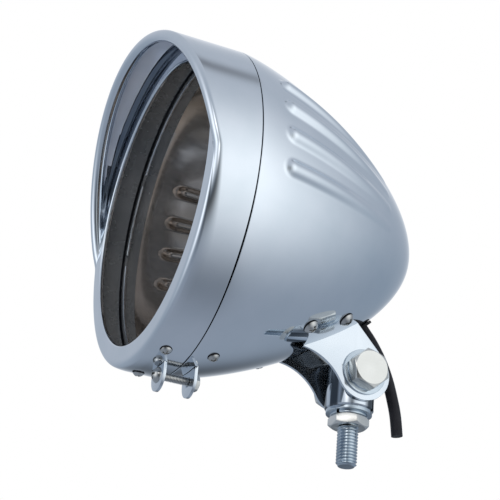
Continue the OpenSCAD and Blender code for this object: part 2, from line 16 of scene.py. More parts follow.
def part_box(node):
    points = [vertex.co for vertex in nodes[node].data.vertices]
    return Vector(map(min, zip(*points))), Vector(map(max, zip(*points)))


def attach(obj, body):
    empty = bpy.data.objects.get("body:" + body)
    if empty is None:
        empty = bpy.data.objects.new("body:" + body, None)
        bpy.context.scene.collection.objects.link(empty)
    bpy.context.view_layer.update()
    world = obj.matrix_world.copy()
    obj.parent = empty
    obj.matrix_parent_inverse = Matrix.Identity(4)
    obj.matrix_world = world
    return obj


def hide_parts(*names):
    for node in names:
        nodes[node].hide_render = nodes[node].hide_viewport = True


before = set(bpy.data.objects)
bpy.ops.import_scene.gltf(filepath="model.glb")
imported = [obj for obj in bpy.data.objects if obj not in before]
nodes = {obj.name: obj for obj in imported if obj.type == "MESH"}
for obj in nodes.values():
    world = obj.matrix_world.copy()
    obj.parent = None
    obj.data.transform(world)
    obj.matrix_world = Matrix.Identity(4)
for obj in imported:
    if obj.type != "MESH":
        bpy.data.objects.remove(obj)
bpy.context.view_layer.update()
bpy.ops.object.select_all(action="DESELECT")


def new_object(name, data):
    """A new object that holds this data, in the scene."""
    obj = bpy.data.objects.new(name, data)
    bpy.context.scene.collection.objects.link(obj)
    return obj


print("solids loaded:", len(nodes))

# %% [markdown]
# ## Where things are
# The lamp's own measures are easiest with the seam between bowl and ring at zero and the lamp's
# axis as the middle. Two solids give that place: the ring's rear edge is the seam, and the bowl's
# top is one lamp radius above the axis. A small function then turns millimetres into the scene.

# %% The lamp's own measures
mm = 0.001
lamp_r = 79.5
bowl_len = 114.0
bowl_shoulder = 1.34
bowl_tail = 1.76
sheet = 1.2
seam_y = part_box("trim_ring")[1].y
axis_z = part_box("shell")[1].z - lamp_r * mm


def spot(x, y, z):
    """A place in the scene for a place in the lamp: across, behind the seam, above the axis."""
    return Vector((x * mm, seam_y + y * mm, axis_z + z * mm))


print("seam at", round(seam_y, 4), "axis at", round(axis_z, 4))

# %% [markdown]
# ## Camera
# The photograph looks up at the lamp from below, three quarters of the way from facing its mouth to
# a side view. Three things fix such a view: where the camera stands, which way it looks, and which
# way is up in it. A long lens keeps the round rim from stretching.

# %% Place the camera
camera_place = Vector((0.64087, -0.32252, -0.24357))
view_back = Vector((0.8385, -0.3471, -0.42005)).normalized()
view_up = Vector((0.35476, -0.23737, 0.90432))
view_right = view_up.cross(view_back).normalized()
view_up = view_back.cross(view_right)
camera_data = bpy.data.cameras.new("camera")
camera_data.sensor_width = 36
camera_data.lens = 115.2
camera = new_object("camera", camera_data)
turn = Matrix((view_right, view_up, view_back)).transposed().to_4x4()
camera.matrix_world = Matrix.Translation(camera_place) @ turn
bpy.context.scene.camera = camera
print("camera at", [round(v, 3) for v in camera_place])

# %% [markdown]
# ## The lead
# A black round lead comes out of the bowl through a rubber grommet behind the knuckle. It runs
# straight for a few widths, bends down under its own weight and ends in a flat cut. A curve with a
# round bevel is the natural way to make it, because the curve's own line keeps the real length. It
# is made a mesh at the end.

# %% Run the lead out of its hole
cable_back = 92.4
cable_r = 2.8


def bowl_at(y, radius=lamp_r, length=bowl_len):
    """Radius of the bowl at a distance behind the seam."""
    share = np.clip(np.asarray(y, float) / length, 0, 1)
    return radius * (1 - share**bowl_shoulder) ** (1 / bowl_tail)


def lean_at(y, reach=0.5):
    """How far the bowl's outward direction leans to the rear there, in radians."""
    return math.atan((bowl_at(y - reach) - bowl_at(y + reach)) / (2 * reach))


def below_hole(out, back):
    """A place on the lead: how far out of the hole, and how far back along the bowl."""
    lean = lean_at(cable_back)
    y = cable_back - back * math.cos(lean) + out * math.sin(lean)
    z = -float(bowl_at(cable_back)) - back * math.sin(lean) - out * math.cos(lean)
    return spot(0, y, z)


route = [(-3, 0), (0, 0), (3.5, 0), (10, 0.2), (19, 1.6), (28.5, 4.5), (37.5, 8.5), (45, 12.5), (53, 18)]


def through(points, steps=4):
    """A smooth row of places through the given ones."""
    p = [points[0]] + points + [points[-1]]
    row = []
    for a, b, c, d in zip(p, p[1:], p[2:], p[3:]):
        for i in range(steps):
            t = i / steps
            pull = (c - a) * t + (2 * a - 5 * b + 4 * c - d) * t * t + (3 * b - a - 3 * c + d) * t**3
            row.append(b + pull / 2)
    return row + [points[-1]]


line = through([below_hole(*p) for p in route])
lead_curve = bpy.data.curves.new("lead", "CURVE")
lead_curve.dimensions = "3D"
lead_curve.bevel_depth = cable_r * mm
lead_curve.bevel_resolution = 8
lead_curve.use_fill_caps = True
spline = lead_curve.splines.new("POLY")
spline.points.add(len(line) - 1)
for point, place in zip(spline.points, line):
    point.co = (*place, 1)
lead = new_object("lead", lead_curve)
lead.select_set(True)
bpy.context.view_layer.objects.active = lead
bpy.ops.object.convert(target="MESH")
bpy.ops.object.shade_smooth_by_angle(angle=math.radians(40))
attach(lead, "lamp")
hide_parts("cable")

# %% [markdown]
# ## Helpers for shaping
# Most pieces start in one of three ways. A turned piece is a drawn profile that a Screw modifier
# sweeps round an axis. A small hard piece is a copy of its solid, with its flat faces cleaned and
# its edges rounded by a Bevel modifier. A threaded piece is one tooth that a Screw modifier winds.

# %% Work on one object at a time
def take(obj):
    """Selects only this object and makes it the active one."""
    bpy.ops.object.select_all(action="DESELECT")
    obj.select_set(True)
    bpy.context.view_layer.objects.active = obj
    return obj


def edit(obj, *steps):
    """Runs steps in edit mode with everything selected."""
    take(obj)
    bpy.ops.object.mode_set(mode="EDIT")
    bpy.ops.mesh.select_all(action="SELECT")
    for step in steps:
        step()
    bpy.ops.object.mode_set(mode="OBJECT")
    return obj


def apply_modifier(obj, kind, **settings):
    """Adds a modifier with these settings and applies it."""
    take(obj)
    added = obj.modifiers.new(kind.lower(), kind)
    for key, value in settings.items():
        setattr(added, key, value)
    bpy.ops.object.modifier_apply(modifier=added.name)
    return obj


def smooth(obj, angle):
    """Smooth shading with hard edges past an angle."""
    take(obj)
    bpy.ops.object.shade_smooth_by_angle(angle=math.radians(angle))
    return obj


def points_of(obj):
    """The mesh's points in lamp millimetres, one row each."""
    co = np.zeros(len(obj.data.vertices) * 3)
    obj.data.vertices.foreach_get("co", co)
    return (co.reshape(-1, 3) - (0, seam_y, axis_z)) / mm


def set_points(obj, points):
    """Puts lamp millimetres back into the mesh."""
    co = np.asarray(points) * mm + (0, seam_y, axis_z)
    obj.data.vertices.foreach_set("co", co.ravel())
    obj.data.update()


def whole_row(obj, name):
    """A whole-number attribute of the points."""
    values = np.zeros(len(obj.data.vertices), np.int32)
    obj.data.attributes[name].data.foreach_get("value", values)
    return values


print("shaping helpers ready")

# %% [markdown]
# ### Profiles
# A profile is a line of points, drawn once and then turned. Each point keeps its number, so that
# later steps find the same row all the way round. Corners are rounded in the line itself, which is
# easier than a bevel on the wall.

# %% Draw a profile and turn it
merge_reach = 0.000005


def profile(name, rows, closed=False):
    """A row of points, radius and distance behind the seam, drawn straight up from the axis."""
    mesh = bpy.data.meshes.new(name)
    n = len(rows)
    edges = [(i, i + 1) for i in range(n - 1)] + ([(n - 1, 0)] if closed else [])
    mesh.from_pydata([(0, y * mm, r * mm) for r, y in rows], edges, [])
    mark = mesh.attributes.new("row", "INT", "POINT")
    mark.data.foreach_set("value", np.arange(n, dtype=np.int32))
    return new_object(name, mesh)


def turn_round(obj, columns):
    """Turns the profile about the lamp's axis. The columns are the angles where its copies stand."""
    steps = len(columns)
    apply_modifier(obj, "SCREW", axis="Y", angle=2 * math.pi, screw_offset=0, steps=steps,
        render_steps=steps, use_merge_vertices=True, merge_threshold=merge_reach)
    obj.data.transform(Matrix.Translation(spot(0, 0, 0)))
    p = points_of(obj)
    radius, turn = np.hypot(p[:, 0], p[:, 2]), np.degrees(np.arctan2(p[:, 0], p[:, 2])) % 360
    column = np.round(turn * steps / 360).astype(int) % steps
    angle = np.radians(np.asarray(columns)[column])
    set_points(obj, np.column_stack([radius * np.sin(angle), p[:, 1], radius * np.cos(angle)]))
    edit(obj, lambda: bpy.ops.mesh.remove_doubles(threshold=merge_reach),
        lambda: bpy.ops.mesh.normals_make_consistent(inside=False))
    return obj


print("profiles can be turned")


# %% Round the corners of a profile
def rounded(rows, corners):
    """The same profile with the named corners rounded, {index: (radius, steps)}."""
    out = []
    for i, p in enumerate(rows):
        p = np.array(p, float)
        if i not in corners:
            out.append(tuple(p))
            continue
        before = np.array(rows[i - 1], float) - p
        after = np.array(rows[(i + 1) % len(rows)], float) - p
        long_b, long_a = max(1e-6, np.linalg.norm(before)), max(1e-6, np.linalg.norm(after))
        reach, steps = corners[i]
        cut = min(reach, 0.45 * long_b, 0.45 * long_a)
        a, b = p + before / long_b * cut, p + after / long_a * cut
        for k in range(steps + 1):
            t = k / steps
            out.append(tuple(a * (1 - t) ** 2 + 2 * p * t * (1 - t) + b * t * t))
    return out


def evenly(rows, step):
    """The same line with points this far apart."""
    rows = np.array(rows, float)
    along = np.concatenate([[0], np.cumsum(np.linalg.norm(np.diff(rows, axis=0), axis=1))])
    marks = np.linspace(0, along[-1], max(2, int(round(along[-1] / step)) + 1))
    radius, back = (np.interp(marks, along, rows[:, i]) for i in (0, 1))
    return [(float(r), float(y)) for r, y in zip(radius, back)]


print("profiles can be rounded and spaced")

# %% [markdown]
# ## The bowl
# The bowl is one sheet of steel, drawn deep and then pressed with four long ribs on each side. Its
# neck reaches into the ring and ends in a narrow flange. A turned profile gives bowl, neck and
# inside in one closed wall. A Screw modifier without any rise turns it, and its columns are then
# drawn together where the ribs are, so the mesh is fine only where it has to be.

# %% Draw the bowl's profile
neck_len = 5.8
neck_flange = 2.3
neck_gap = 0.2
seam_gap = 0.24
fine_from, fine_to = 9.0, 87.0
tail_step, fine_step, front_step, inner_step = 1.9, 1.0, 1.2, 1.8
seam_bend, neck_bend, hem_bend = 0.5, 0.8, 0.3
inner_start = 0.4
neck_out = lamp_r - sheet - neck_gap
neck_in = neck_out - sheet
flange_in = neck_in - neck_flange


def bowl_line(radius, length, points=900):
    """The bowl's curve from its tail to the seam."""
    turns = np.linspace(math.pi / 2, 0, points)
    y = length * np.sin(turns)
    return list(zip(bowl_at(y, radius, length), y))


outer_curve = bowl_line(lamp_r, bowl_len)
rib_zone = [p for p in outer_curve if fine_from <= p[1] <= fine_to]
tail_zone = [p for p in outer_curve if p[1] >= fine_to]
front_zone = [p for p in outer_curve if seam_gap + seam_bend <= p[1] <= fine_from]
outer_rows = evenly(tail_zone, tail_step)[:-1] + evenly(rib_zone, fine_step)[:-1]
outer_rows += evenly(front_zone, front_step)
outer_rows[0] = (0.0, bowl_len)
neck_rows = rounded(
    [outer_rows[-1], (lamp_r, seam_gap), (neck_out, seam_gap), (neck_out, -neck_len),
        (flange_in, -neck_len), (flange_in, sheet - neck_len), (neck_in, sheet - neck_len),
        (neck_in, sheet), (float(bowl_at(sheet, lamp_r - sheet, bowl_len - sheet)), sheet)],
    {1: (seam_bend, 4), 3: (neck_bend, 4), 4: (hem_bend, 3), 5: (hem_bend, 3), 6: (seam_bend, 3)})[1:]
inner_curve = [p for p in bowl_line(lamp_r - sheet, bowl_len - sheet) if p[1] > sheet + inner_start]
inner_rows = evenly(inner_curve[::-1], inner_step)
inner_rows[-1] = (0.0, bowl_len - sheet)
first_inner = len(outer_rows) + len(neck_rows)
bowl_rows = outer_rows + neck_rows + inner_rows
print("profile points", len(bowl_rows))

# %% Turn the bowl
rib_low, rib_high = 48, 102
columns = []
for start, end, steps in (
    (0, rib_low, 24),
    (rib_low, rib_high, 108),
    (rib_high, 360 - rib_high, 78),
    (360 - rib_high, 360 - rib_low, 108),
    (360 - rib_low, 360, 24),
):
    columns += list(np.linspace(start, end, steps, endpoint=False))
bowl = turn_round(profile("bowl", bowl_rows), columns)
bowl_row = whole_row(bowl, "row")
print("bowl faces", len(bowl.data.polygons))

# %% [markdown]
# ### Ribs
# A rib is the mark of a bent round rod in the sheet: proud at its round front end, sunk away at
# its rear. The distance to that rod says how far each point of the wall moves out, and a soft join
# between rod and bowl gives the pressed sheet its rolled edge. The inside moves with the outside.

# %% The rod that presses a rib
rib_count = 4
rib_first = 55.6
rib_step = 12.7
rib_front = 12.1
rib_back = 79.0
rib_r = 4.4
rib_h = 2.2


def rib_place(k):
    """The middle of the rod, radius and distance behind the seam, from its front to its rear."""
    y = rib_front + rib_r + (rib_back - rib_front - rib_r) * k
    return np.array([float(bowl_at(y)) - (rib_r - rib_h + (rib_h + sheet) * k**2), y])


def circle_through(a, b, c):
    """Centre and radius of the circle through three places."""
    half_a, half_b = (b - a) / 2, (c - b) / 2
    side = np.array([-half_a[1], half_a[0]])
    centre = a + half_a + side * np.dot(half_a + half_b, half_b) / np.dot(side, half_b)
    return centre, float(np.linalg.norm(a - centre))


bend_centre, bend_r = circle_through(rib_place(0), rib_place(0.5), rib_place(1))


def rod_distance(radial, y, across):
    """Distance from the rod's middle line."""
    def aim(p):
        return math.atan2(p[1] - bend_centre[1], p[0] - bend_centre[0])
    low, high = sorted((aim(rib_place(0)), aim(rib_place(1))))
    turn = np.clip(np.arctan2(y - bend_centre[1], radial - bend_centre[0]), low, high)
    out = radial - bend_centre[0] - bend_r * np.cos(turn)
    back = y - bend_centre[1] - bend_r * np.sin(turn)
    return np.hypot(np.hypot(out, back), across)


print("rod bent to", round(bend_r, 1), "mm")

# %% Press the ribs
press_from, press_to = 8, 90
rib_reach = 12
outer_roll, inner_roll = 1.3, 1.0


def soft_join(a, b, width):
    """The nearer of two distances, with a rolled corner this wide."""
    both = np.maximum(width - np.abs(a - b), 0) / width
    return np.minimum(a, b) - both**2 * width / 4


def press(radius, y, angle, rod, width, start_out=5, guesses=60, stride=0.9):
    """Radius of the wall round a rod at angle zero, found by stepping in from outside."""
    slope = bowl_at(y - 0.5) - bowl_at(y + 0.5)
    square = 1 / np.sqrt(1 + slope**2)
    r = radius + start_out
    for _ in range(guesses):
        to_rod = rod_distance(r * np.cos(angle), y, r * np.sin(angle)) - rod
        r = r - soft_join(to_rod, (r - radius) * square, width) * stride
    return np.maximum(r, radius)


p = points_of(bowl)
radius, around = np.hypot(p[:, 0], p[:, 2]), np.degrees(np.arctan2(p[:, 0], p[:, 2]))
in_reach = (p[:, 1] > press_from) & (p[:, 1] < press_to)
is_outer = (bowl_row < len(outer_rows)) & in_reach
is_inner = (bowl_row >= first_inner) & in_reach
moved = radius.copy()
for part, rod, width in ((is_outer, rib_r, outer_roll), (is_inner, rib_r - sheet, inner_roll)):
    for side in (-1, 1):
        for i in range(rib_count):
            off = np.abs(around - side * (rib_first + i * rib_step))
            near = part & (off < rib_reach)
            pressed = press(radius[near], p[near, 1], np.radians(off[near]), rod, width)
            moved[near] = np.maximum(moved[near], pressed)
scale = moved / np.maximum(radius, 1e-6)
p[:, 0] *= scale
p[:, 2] *= scale
set_points(bowl, p)
print("ribs stand", round(float((moved - radius).max()), 2), "mm proud")

# %% [markdown]
# ### Openings in the bowl
# Slots let the clamp's rear ear and the two bracket ears through, and the flange has two locating
# notches. The cutters are plain blocks at the ears' own places with a little air round them, and a
# Boolean modifier takes them out of the wall.

# %% Cut the slots and notches
lug_t = 1.4
lug_w = 15.0
rear_ear = 7.1
ear_t = 1.5
slot_air = 0.25
knuckle_r = 11.6
knuckle_gap = 0.3
ear_mid = knuckle_r + knuckle_gap + ear_t / 2
ear_front = 56.6
ear_back = 84.2
lug_cut_high, ear_cut_high, ear_cut_z = 14, 40, -62
notch_wide, notch_deep, notch_high = 6, 4, 2.4
notch_angles = (-55, -88)


def block(x, y, z, wide, deep, high, turned=0):
    """A cutter block about a place in the lamp, turned about the lamp's axis."""
    bpy.ops.mesh.primitive_cube_add(size=1, location=spot(x, y, z))
    cutter = bpy.context.object
    cutter.scale = (wide * mm, deep * mm, high * mm)
    bpy.ops.object.transform_apply(location=True, rotation=True, scale=True)
    if turned:
        spin = Matrix.Rotation(math.radians(turned), 4, "Y")
        to_axis, back = Matrix.Translation(-spot(0, 0, 0)), Matrix.Translation(spot(0, 0, 0))
        cutter.data.transform(back @ spin @ to_axis)
    return cutter


def cut(obj, cutters):
    """Takes the cutters out of the object."""
    bpy.ops.object.select_all(action="DESELECT")
    for c in cutters:
        c.select_set(True)
    bpy.context.view_layer.objects.active = cutters[0]
    if len(cutters) > 1:
        bpy.ops.object.join()
    tool = bpy.context.view_layer.objects.active
    apply_modifier(obj, "BOOLEAN", operation="DIFFERENCE", object=tool, solver="EXACT")
    bpy.data.objects.remove(tool)
    return obj


bpy.ops.object.select_all(action="DESELECT")
slots = [block(0, rear_ear, -lamp_r, lug_w + 2 * slot_air, lug_t + 2 * slot_air, lug_cut_high)]
ear_mid_y = (ear_front + ear_back) / 2
ear_deep = ear_back - ear_front + 2 * slot_air
for side in (-1, 1):
    slots.append(
        block(side * ear_mid, ear_mid_y, ear_cut_z, ear_t + 2 * slot_air, ear_deep, ear_cut_high))
for angle in notch_angles:
    slots.append(block(0, -neck_len, flange_in, notch_wide, notch_deep, notch_high, angle))
cut(bowl, slots)
print("bowl faces after cutting", len(bowl.data.polygons))

# %% [markdown]
# ## The trim ring
# The ring is a rolled pressing. Its wall runs straight from the seam, turns over at the front and
# comes back to a hemmed lip round the mouth. Over the top the roll moves forward and becomes the
# visor's bead. Turning any profile gives the right number of points, and each of them is then
# put where its own section of the ring has it. Low on one side the seam opens a little.

# %% How far the visor reaches
ring_depth = 21.0
visor_reach = 18.94
visor_end = 93.0
visor_fullness = 0.9
visor_fade = 0.8


def visor_at(angle):
    """How far the visor stands beyond the lip. It runs out softly on both sides."""
    height = math.cos(math.radians(min(180, abs(angle) * 90 / visor_end)))
    rise = math.copysign(visor_reach * abs(height) ** visor_fullness, height)
    return (rise + math.hypot(rise, visor_fade)) / 2


print("visor reach at the top and the side", round(visor_at(0), 2), round(visor_at(90), 2))

# %% The ring's front where there is no visor
crown_from = 13.4
crown_drop = 1.1
ridge_r = 2.4
ridge_lead = 1.2
ridge_steps = 8


def crown(steps):
    """The ring's front where there is no visor: a shallow curve, a crisp ridge and a flat face."""
    start, ridge = np.array([lamp_r, -crown_from]), np.array([lamp_r - crown_drop, -ring_depth])
    length = ring_depth - crown_from
    curve = []
    for t in np.linspace(0, 1, steps - ridge_steps):
        along = (length - ridge_r) * t
        curve.append(start - (crown_drop * (along / length) ** 2, along))
    last = curve[-1]
    inward = ridge - (ridge_r * ridge_lead, 0)
    for t in np.linspace(0, 1, ridge_steps + 1)[1:]:
        curve.append(last * (1 - t) ** 2 + ridge * 2 * t * (1 - t) + inward * t * t)
    return curve


print("points over the ridge", len(crown(20)))

# %% The ring's section at any angle
mouth_r = 68.6
bead_r = 2.9
full_curl = 250.0
roll_run = 5.0
turn_in_run = 5.0
ridge_from, ridge_to = 86.0, 128.0
seam_open, seam_open_at, seam_open_wide = 0.34, 128.0, 17.0
gap_line = 0.9
lip_hem = 2.2
lip_edge = 0.6
lip_bend, hollow_r = 1.0, 9.0
edge_bend, tuck_bend, inner_bend = 0.45, 1.5, 3.0
hem_bends = ((0.55, 5), (0.5, 4), (0.4, 3), (0.4, 3), (0.5, 3))


def ease(x):
    """A slow start and a slow end between zero and one."""
    c = min(1.0, max(0.0, x))
    return c * c * (3 - 2 * c)


def between(a, b, k):
    """The place this share of the way from a to b."""
    return np.array(a) + (np.array(b) - np.array(a)) * k


def ring_section(angle, roll_steps=44, wall_steps=6):
    """Radius and distance behind the seam of the ring's points at one angle from the top."""
    d = visor_at(angle)
    b = bead_r
    curl = full_curl
    if d < b * (1 - math.sin(math.radians(full_curl))):
        curl = 180 - math.degrees(math.asin(1 - d / b))
    c = np.array([lamp_r - b, b - ring_depth - d])
    turns = np.radians(np.linspace(0, curl, roll_steps))
    bead = [c + b * np.array([math.cos(t), -math.sin(t)]) for t in turns]
    share = ease((ridge_to - abs(angle)) / (ridge_to - ridge_from))
    roll = [between(q, w, share) for q, w in zip(crown(roll_steps), bead)]
    end = roll[-1]
    free = max(0.0, -ring_depth - end[1])
    k = ease(free / roll_run)
    inside = lamp_r - sheet
    shelf = end[0] - mouth_r - lip_edge
    tuck = between(end - (shelf / 4, 0), (inside, end[1] + min(free / 2, b / 3)), k)
    corner = between((end[0] - shelf / 2, -ring_depth), (inside, -ring_depth), k)
    turn_in = [between((inside - turn_in_run, sheet - ring_depth), (inside, sheet - ring_depth), t)
        for t in (0, 0.5)] + [(inside, sheet - ring_depth)]
    rear = -seam_gap - seam_open * math.exp(-((angle - seam_open_at) / seam_open_wide) ** 2)
    wall_out = [between((lamp_r, rear - 0.5), roll[0], t) for t in np.linspace(0, 1, wall_steps)[:-1]]
    front = (mouth_r + lip_edge, -ring_depth)
    rows = [(lamp_r, rear)] + wall_out + roll + [tuck, corner, front]
    lip_at = len(rows) - 1
    rows += [(mouth_r, lip_edge - ring_depth), (mouth_r, lip_hem - ring_depth),
        (mouth_r + sheet, lip_hem - ring_depth), (mouth_r + sheet, sheet - ring_depth)]
    rows += turn_in + [(inside, -neck_len - gap_line), (inside, -neck_len)]
    rows += [between((inside, sheet - ring_depth), (inside, rear), 0.9), (inside, rear)]
    wide = lip_bend + (hollow_r - lip_bend) * k
    corners = {0: (edge_bend, 4), lip_at - 2: (tuck_bend, 6), lip_at - 1: (wide, 16)}
    corners.update({lip_at + i: bend for i, bend in enumerate(hem_bends)})
    corners[lip_at + 7] = (inner_bend, 8)
    return rounded([tuple(r) for r in rows], corners)


first_section = ring_section(0)
print("points in a section", len(first_section))

# %% [markdown]
# ### From sections to a ring
# No single profile has the ring's shape, so a plain line with the right number of points is turned
# first. Each station round the ring then gets its own section, and the mesh stays in tidy rows.

# %% Turn the ring and shape the visor
ring_stations = 480
plain_line = [(lamp_r - 0.01 * i, -0.02 * i) for i in range(len(first_section))]
ring = profile("visor_ring", plain_line, closed=True)
turn_round(ring, np.arange(ring_stations) * 360 / ring_stations)
ring_row = whole_row(ring, "row")
p = points_of(ring)
around = np.degrees(np.arctan2(p[:, 0], p[:, 2]))
station = np.round(around * ring_stations / 360).astype(int)
for s in np.unique(station):
    section = np.array(ring_section(s * 360 / ring_stations))
    here = np.where(station == s)[0]
    a = math.radians(s * 360 / ring_stations)
    place = section[ring_row[here]]
    p[here] = np.column_stack([place[:, 0] * math.sin(a), place[:, 1], place[:, 0] * math.cos(a)])
set_points(ring, p)
edit(ring, lambda: bpy.ops.mesh.normals_make_consistent(inside=False))
print("ring faces", len(ring.data.polygons))

# %% Cut the front ear's slot
front_ear_off = 1.4
front_ear = neck_len + front_ear_off + lug_t / 2
bpy.ops.object.select_all(action="DESELECT")
cut(ring, [block(0, -front_ear, -lamp_r, lug_w + 2 * slot_air, lug_t + 2 * slot_air, lug_cut_high)])
print("ring faces after cutting", len(ring.data.polygons))

# %% [markdown]
# ## Small hard pieces
# Screws, nuts, washers, lugs, the bracket and the knuckle already have the right form in the
# solids. What they lack is the worn, slightly round edge that catches light. A copy of each solid
# has its loose triangles merged and its flat faces joined, and a narrow bevel goes on every sharp
# edge. On the bracket's curved saddle only almost level faces are joined.

# %% Round the edges of a copied solid
plain_flat, saddle_flat = 0.6, 0.04
bevel_angle, bevel_steps, shade_angle = 38, 3, 25


def copy_of(node, name, flat=plain_flat):
    """A clean copy of a solid as a mesh of its own, its faces joined up to this angle."""
    obj = new_object(name, nodes[node].data.copy())
    obj.data.materials.clear()
    take(obj)
    bpy.ops.mesh.customdata_custom_splitnormals_clear()
    edit(obj, lambda: bpy.ops.mesh.remove_doubles(threshold=merge_reach),
        lambda: bpy.ops.mesh.dissolve_limited(angle_limit=math.radians(flat)))
    return obj


def ease_edges(obj, width):
    """Rounds the sharp edges and shades the rest smooth."""
    apply_modifier(obj, "BEVEL", width=width * mm, segments=bevel_steps, limit_method="ANGLE",
        angle_limit=math.radians(bevel_angle), use_clamp_overlap=True, harden_normals=False)
    return smooth(obj, shade_angle)


def keep(obj, body, slot, *replaced):
    """Says what carries the piece and which solids it stands for. The slot is not used."""
    obj.data.name = obj.name
    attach(obj, body)
    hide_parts(*replaced)
    return obj


print("copies can be cleaned and rounded")

# %% Copy the small pieces
small = {}
for node, name, width, body, slot in (
    ("front_lug", "front_clamp_lug", 0.25, "lamp", "zinc_thread"),
    ("rear_lug", "rear_clamp_lug", 0.25, "lamp", "zinc_thread"),
    ("front_lug_screws", "ring_screws", 0.12, "lamp", "stainless"),
    ("rear_lug_screws", "bowl_screws", 0.12, "lamp", "stainless"),
    ("front_lug_nuts", "ring_nuts", 0.1, "lamp", "zinc_thread"),
    ("rear_lug_nuts", "bowl_nuts", 0.1, "lamp", "zinc_thread"),
    ("clamp_nut", "clamp_hex_nut", 0.15, "lamp", "stainless"),
    ("tilt_bracket", "bracket_ears", 0.3, "lamp", "chromed_sheet"),
    ("bracket_screws", "saddle_screws", 0.15, "lamp", "stainless"),
    ("bracket_nuts", "saddle_nuts", 0.12, "lamp", "zinc_thread"),
    ("pivot_washers", "flat_washers", 0.2, "lamp", "zinc_thread"),
    ("pivot_lock_washer", "spring_washer", 0.15, "lamp", "zinc_thread"),
    ("pivot_nut", "pivot_hex_nut", 0.3, "lamp", "stainless"),
    ("knuckle", "round_knuckle", 0.6, "mount", "chromed_block"),
    ("stud_washer", "stud_flat_washer", 0.25, "mount", "zinc_thread"),
    ("stud_lock_washer", "stud_spring_washer", 0.15, "mount", "zinc_thread"),
    ("stud_nut", "stud_hex_nut", 0.25, "mount", "stainless"),
    ("cable_grommet", "rubber_grommet", 0.35, "lamp", "rubber"),
):
    flat = saddle_flat if node == "tilt_bracket" else plain_flat
    piece = keep(ease_edges(copy_of(node, name, flat), width), body, slot, node)
    small[node] = piece
    print(name, len(piece.data.polygons), "faces")

# %% [markdown]
# ## Threads
# A real thread is a spiral, and a ring of grooves looks wrong at once. One tooth is drawn as a
# short upright line, a Screw modifier winds it up by one pitch a turn, and the bisect tool cuts
# the ends flat. The end is then drawn in to a cone, where the teeth fade away.

# %% Wind a thread
thread_depth = 0.6134
turn_steps = 56
thread_shade = 34
thread_merge = 0.00001
cut_reach = 0.000001


def wind_thread(name, radius, pitch, bottom, top, chamfer):
    """A threaded rod along Z about the scene's origin, in millimetres, its chamfer at the bottom."""
    depth = thread_depth * pitch
    crest, root, flat = radius, radius - depth, pitch / 8
    tooth = [(root, 0), (root, flat), (crest, pitch / 2 - flat / 2), (crest, pitch / 2 + flat / 2),
        (root, pitch - flat), (root, pitch)]
    mesh = bpy.data.meshes.new(name)
    edges = [(i, i + 1) for i in range(len(tooth) - 1)]
    mesh.from_pydata([(r * mm, 0, z * mm) for r, z in tooth], edges, [])
    obj = new_object(name, mesh)
    turns = math.ceil((top - bottom) / pitch) + 2
    apply_modifier(obj, "SCREW", axis="Z", angle=2 * math.pi, screw_offset=pitch * mm, steps=turn_steps,
        render_steps=turn_steps, iterations=turns, use_merge_vertices=True, merge_threshold=thread_merge)
    obj.data.transform(Matrix.Translation((0, 0, (bottom - pitch) * mm)))
    edit(obj, lambda: bpy.ops.mesh.bisect(plane_co=(0, 0, bottom * mm), plane_no=(0, 0, 1),
        clear_inner=True, use_fill=True, threshold=cut_reach))
    edit(obj, lambda: bpy.ops.mesh.bisect(plane_co=(0, 0, top * mm), plane_no=(0, 0, 1),
        clear_outer=True, use_fill=True, threshold=cut_reach))
    for v in obj.data.vertices:
        limit = (radius - chamfer + (v.co.z / mm - bottom)) * mm
        reach = math.hypot(v.co.x, v.co.y)
        if reach > limit:
            v.co.x *= limit / reach
            v.co.y *= limit / reach
    edit(obj, lambda: bpy.ops.mesh.normals_make_consistent(inside=False))
    return smooth(obj, thread_shade)


print("threads can be wound")

# %% The stud
stud_r = 5.0
stud_pitch = 1.5
stud_free = 19.0
stud_in_nut = 0.4
stud_chamfer = 1.2
stud = wind_thread("threaded_stud", stud_r, stud_pitch, -stud_free, stud_in_nut, stud_chamfer)
keep(stud, "mount", "zinc_thread", "stud")
print("stud faces", len(stud.data.polygons))

# %% [markdown]
# ### Screws with their own heads
# The clamp screw and the pivot bolt keep the head of their solid. Its shank is cut off under the
# head, and a wound rod is joined on in its place.

# %% Cut and join
def cut_off(obj, place, normal):
    """Cuts a piece off flat past a plane and closes it."""
    return edit(obj, lambda: bpy.ops.mesh.bisect(plane_co=place, plane_no=normal, clear_outer=True,
        use_fill=True, threshold=cut_reach))


def join(name, *objs):
    """Joins finished pieces into one object."""
    bpy.ops.object.select_all(action="DESELECT")
    for o in objs:
        o.select_set(True)
    bpy.context.view_layer.objects.active = objs[0]
    bpy.ops.object.join()
    objs[0].name = name
    return objs[0]


print("pieces can be cut and joined")

# %% The clamp screw
m4_r, m4_pitch, m4_chamfer = 2.0, 0.7, 0.4
clamp_head_h = 2.7
clamp_neck = 1.6
clamp_overlap = 0.6
clamp_low, clamp_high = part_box("clamp_screw")
clamp_z = (clamp_low.z + clamp_high.z) / 2
clamp_end = clamp_high.y / mm
clamp_start = clamp_low.y / mm + clamp_head_h
head = copy_of("clamp_screw", "clamp_machine_screw")
cut_off(head, (0, (clamp_start + clamp_neck) * mm, 0), (0, 1, 0))
ease_edges(head, width=0.15)
rod = wind_thread("clamp_thread", m4_r, m4_pitch, -clamp_end, -clamp_start - clamp_overlap, m4_chamfer)
rod.data.transform(Matrix.Translation((0, 0, clamp_z)) @ Matrix.Rotation(math.pi / 2, 4, "X"))
screw = join("clamp_machine_screw", head, rod)
keep(screw, "lamp", "stainless", "clamp_screw")
print("clamp screw", [round(v, 4) for v in clamp_low], [round(v, 4) for v in clamp_high])

